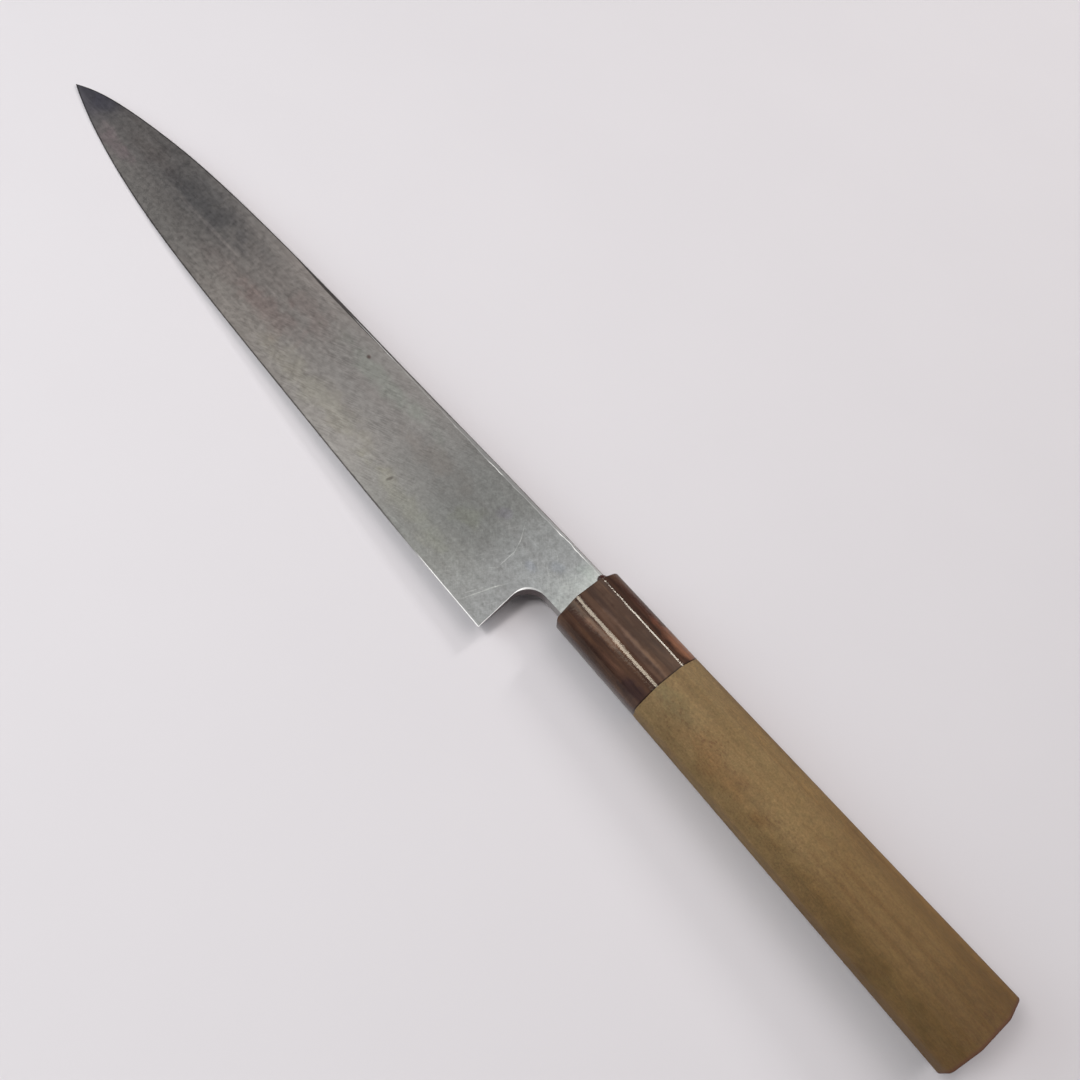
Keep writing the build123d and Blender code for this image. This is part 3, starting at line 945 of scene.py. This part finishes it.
class BladeLook(bpy.types.PropertyGroup):
    """Finish of the blade's two metals."""

    steel: colour_setting("Steel", "Bare hard steel where the patina is worn off", srgb(196, 194, 190))
    iron: colour_setting("Iron", "Bare soft iron of the neck and the bevelled side", srgb(198, 198, 197))
    patina: FloatProperty(
        name="Patina",
        description="How much of the brown-grey patina covers the metal",
        min=0,
        max=1,
        default=1.0,
    )
    strokes: FloatProperty(
        name="Strokes",
        description="How strongly the grinding strokes show",
        min=0,
        max=2,
        default=1.0,
    )


class HandleLook(bpy.types.PropertyGroup):
    """Finish of the horn ferrule, the wood and the resin."""

    horn: colour_setting("Horn", "Darkest tone of the horn", srgb(60, 43, 37))
    horn_light: colour_setting("Lighter horn", "Lighter brown of the horn's streaks", srgb(84, 61, 49))
    amber: colour_setting("Amber", "Fine warm streaks in the horn", srgb(118, 82, 54))
    shine: colour_setting("Horn's shine", "Warm tint of the horn's highlights", srgb(255, 244, 222))
    wood_dark: colour_setting("Growth lines", "Darker lines along the wood", srgb(100, 77, 50))
    wood_red: colour_setting("Flecks", "Red-brown flecks in the wood", srgb(84, 52, 34))
    resin: colour_setting("Resin", "Dark resin in the ferrule's mouth", srgb(40, 20, 18))


class StageLook(bpy.types.PropertyGroup):
    """Floor, lamps and camera."""

    floor: colour_setting("Floor", "Pale floor under the knife", srgb(215, 210, 212))
    main: power_setting("Main lamps", "Large soft lamps on the spine's side", 5.1)
    room: power_setting("Room lamps", "Soft lamps beyond the tip", 6.5)
    strip: power_setting("Overhead lamp", "Small bright lamp above", 6.0)
    low: power_setting("Low lamp", "Small lamp low on the spine's side", 3.1)
    world: FloatProperty(name="World", description="Even light from all round", min=0, default=0.02)
    lens: FloatProperty(
        name="Lens", description="Focal length on a 36 mm sensor", unit="CAMERA", default=36.0
    )


class KNIFE_OT_dress_blade(bpy.types.Operator):
    """Gives the hard steel and the soft iron their ground and patinated surface"""

    bl_idname = "knife.dress_blade"
    bl_label = "Blade"

    def execute(self, context):
        look = context.scene.knife_blade
        make_blade_group()
        dress("blade_hard_steel", make_blade_material("patinated_steel", look, iron=False))
        dress("blade_soft_iron", make_blade_material("patinated_iron", look, iron=True))
        return {"FINISHED"}


class KNIFE_OT_dress_ferrule(bpy.types.Operator):
    """Gives the ferrule its polished horn"""

    bl_idname = "knife.dress_ferrule"
    bl_label = "Ferrule"

    def execute(self, context):
        dress("horn_ferrule", make_horn_material(context.scene.knife_handle))
        return {"FINISHED"}


class KNIFE_OT_dress_handle(bpy.types.Operator):
    """Gives the handle its worn wood"""

    bl_idname = "knife.dress_handle"
    bl_label = "Handle"

    def execute(self, context):
        dress("wood_handle", make_wood_material(context.scene.knife_handle))
        return {"FINISHED"}


class KNIFE_OT_dress_resin(bpy.types.Operator):
    """Gives the resin in the ferrule's mouth its finish"""

    bl_idname = "knife.dress_resin"
    bl_label = "Resin"

    def execute(self, context):
        dress("tang_resin", make_resin_material(context.scene.knife_handle))
        return {"FINISHED"}


# Stage

# The knife rests on the ferrule's front corner and on the edge near the tip. So the floor leans, by x and
# y of its normal when z is 1, and passes through a place given from the point below the ferrule's front.
FLOOR_SIDE = 3.0
FLOOR_TOUCH = Vector((0.0, -4.1, 1.35)) * MM
FLOOR_LEAN = (0.0322, 0.2)
FLOOR_SHADE = srgb(190, 184, 188)
FLOOR_ROUGHNESS = 0.8
WORLD_COLOUR = (0.95, 0.97, 1.0, 1)

# Lamps: name, direction from the knife, size in m, the setting with its power, share of that, colour
LAMP_AIM = Vector((0.03, 0.0, 0.0))
LAMP_DISTANCE = 1.2
WARM, NEUTRAL, COOL = (1.0, 0.967, 0.965), (1.0, 1.0, 1.0), (0.88, 0.96, 1.0)
LAMPS = [
    ("main_lamp_1", (0.0, 0.5, 1.0), (1.6, 1.2), "main", 1.0, WARM),
    ("main_lamp_2", (0.1, 0.84, 0.9), (1.0, 1.0), "main", 0.6, WARM),
    ("room_lamp_1", (-0.84, -1.0, 1.0), (0.8, 0.8), "room", 1.0, COOL),
    ("room_lamp_2", (-1.0, -0.3, 0.6), (0.8, 0.8), "room", 0.35, COOL),
    ("strip_lamp", (-0.21, -0.3, 0.92), (0.36, 0.25), "strip", 1.0, NEUTRAL),
    ("low_lamp", (-0.16, 0.9, 0.4), (0.14, 0.25), "low", 1.0, NEUTRAL),
]

# Camera: its place and its aim from the point below the ferrule's front, and its roll in degrees
SENSOR_WIDTH = 36
CLIP_START = 0.01
CAMERA_OFFSET = Vector((74.42, -88.43, 275.5)) * MM
AIM_OFFSET = Vector((-21.357, 1.631, 10.0)) * MM
CAMERA_ROLL = 4.2574


def add_floor(look):
    """The plain floor under the knife."""
    bpy.ops.object.select_all(action="DESELECT")
    touch = Vector((START.x, START.y, 0)) + FLOOR_TOUCH
    bpy.ops.mesh.primitive_plane_add(size=FLOOR_SIDE, location=touch)
    floor = bpy.context.object
    floor.rotation_mode = "QUATERNION"
    floor.rotation_quaternion = Vector((*FLOOR_LEAN, 1)).to_track_quat("Z", "X")
    floor.name = "floor"
    material, tree, shader, place = new_material("pale_floor")
    shade = rise(tree, noise(tree, place, 60.0, detail=2.0), 0.3, 0.7, 0.0, 0.04)
    feed(tree, shader.inputs["Base Color"], paint(tree, shade, look.floor, FLOOR_SHADE))
    shader.inputs["Roughness"].default_value = FLOOR_ROUGHNESS
    floor.data.materials.append(material)


def add_lamp(name, direction, size, power, colour):
    """A rectangular lamp that shines on the knife from that direction."""
    light = bpy.data.lights.new(name, "AREA")
    light.shape = "RECTANGLE"
    light.size, light.size_y = size
    light.energy = power
    light.color = colour
    lamp = bpy.data.objects.new(name, light)
    bpy.context.scene.collection.objects.link(lamp)
    direction = Vector(direction).normalized()
    lamp.location = LAMP_AIM + direction * LAMP_DISTANCE
    lamp.rotation_mode = "QUATERNION"
    lamp.rotation_quaternion = (-direction).to_track_quat("-Z", "Y")


def add_world(look):
    """An even, weak light from all round."""
    world = bpy.data.worlds.new("plain_room")
    world.use_nodes = True
    background = world.node_tree.nodes["Background"]
    background.inputs["Color"].default_value = WORLD_COLOUR
    background.inputs["Strength"].default_value = look.world
    bpy.context.scene.world = world


def add_camera(look):
    """The camera at the photograph's place."""
    data = bpy.data.cameras.new("camera")
    data.sensor_width = SENSOR_WIDTH
    data.lens = look.lens
    data.clip_start = CLIP_START
    camera = bpy.data.objects.new("camera", data)
    bpy.context.scene.collection.objects.link(camera)
    camera.location = Vector((START.x, START.y, 0)) + CAMERA_OFFSET
    view = (AIM_OFFSET - CAMERA_OFFSET).to_track_quat("-Z", "Y")
    camera.rotation_mode = "QUATERNION"
    camera.rotation_quaternion = view @ Quaternion((0, 0, 1), math.radians(CAMERA_ROLL))
    bpy.context.scene.camera = camera


class KNIFE_OT_set_stage(bpy.types.Operator):
    """Adds the floor, the lamps, the world and the camera"""

    bl_idname = "knife.set_stage"
    bl_label = "Stage"

    def execute(self, context):
        look = context.scene.knife_stage
        add_floor(look)
        for name, direction, size, setting, share, colour in LAMPS:
            add_lamp(name, direction, size, getattr(look, setting) * share, colour)
        add_world(look)
        add_camera(look)
        context.scene.view_settings.view_transform = "Standard"
        return {"FINISHED"}


class KNIFE_PT_panel(bpy.types.Panel):
    """Lists the knife's pieces and their settings"""

    bl_idname = "KNIFE_PT_panel"
    bl_label = "Yanagiba knife"
    bl_space_type = "VIEW_3D"
    bl_region_type = "UI"
    bl_category = "Knife"

    def draw(self, context):
        scene = context.scene
        for settings in (scene.knife_blade, scene.knife_handle, scene.knife_stage):
            box = self.layout.box()
            for name in settings.bl_rna.properties.keys():
                if name not in ("name", "rna_type"):
                    box.prop(settings, name)
        for operator in OPERATORS:
            self.layout.operator(operator.bl_idname)


OPERATORS = (
    KNIFE_OT_dress_blade,
    KNIFE_OT_dress_ferrule,
    KNIFE_OT_dress_handle,
    KNIFE_OT_dress_resin,
    KNIFE_OT_set_stage,
)
CLASSES = (BladeLook, HandleLook, StageLook, *OPERATORS, KNIFE_PT_panel)


def register():
    for cls in CLASSES:
        bpy.utils.register_class(cls)
    bpy.types.Scene.knife_blade = PointerProperty(type=BladeLook)
    bpy.types.Scene.knife_handle = PointerProperty(type=HandleLook)
    bpy.types.Scene.knife_stage = PointerProperty(type=StageLook)


def unregister():
    del bpy.types.Scene.knife_stage
    del bpy.types.Scene.knife_handle
    del bpy.types.Scene.knife_blade
    for cls in reversed(CLASSES):
        bpy.utils.unregister_class(cls)


def main():
    """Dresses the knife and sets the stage."""
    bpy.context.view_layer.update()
    register()
    make_streaks_group()
    make_spot_group()
    make_specks_group()
    make_facet_group()
    bpy.ops.knife.dress_blade()
    bpy.ops.knife.dress_ferrule()
    bpy.ops.knife.dress_handle()
    bpy.ops.knife.dress_resin()
    bpy.ops.knife.set_stage()
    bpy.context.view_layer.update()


if __name__ == "__main__":
    main()
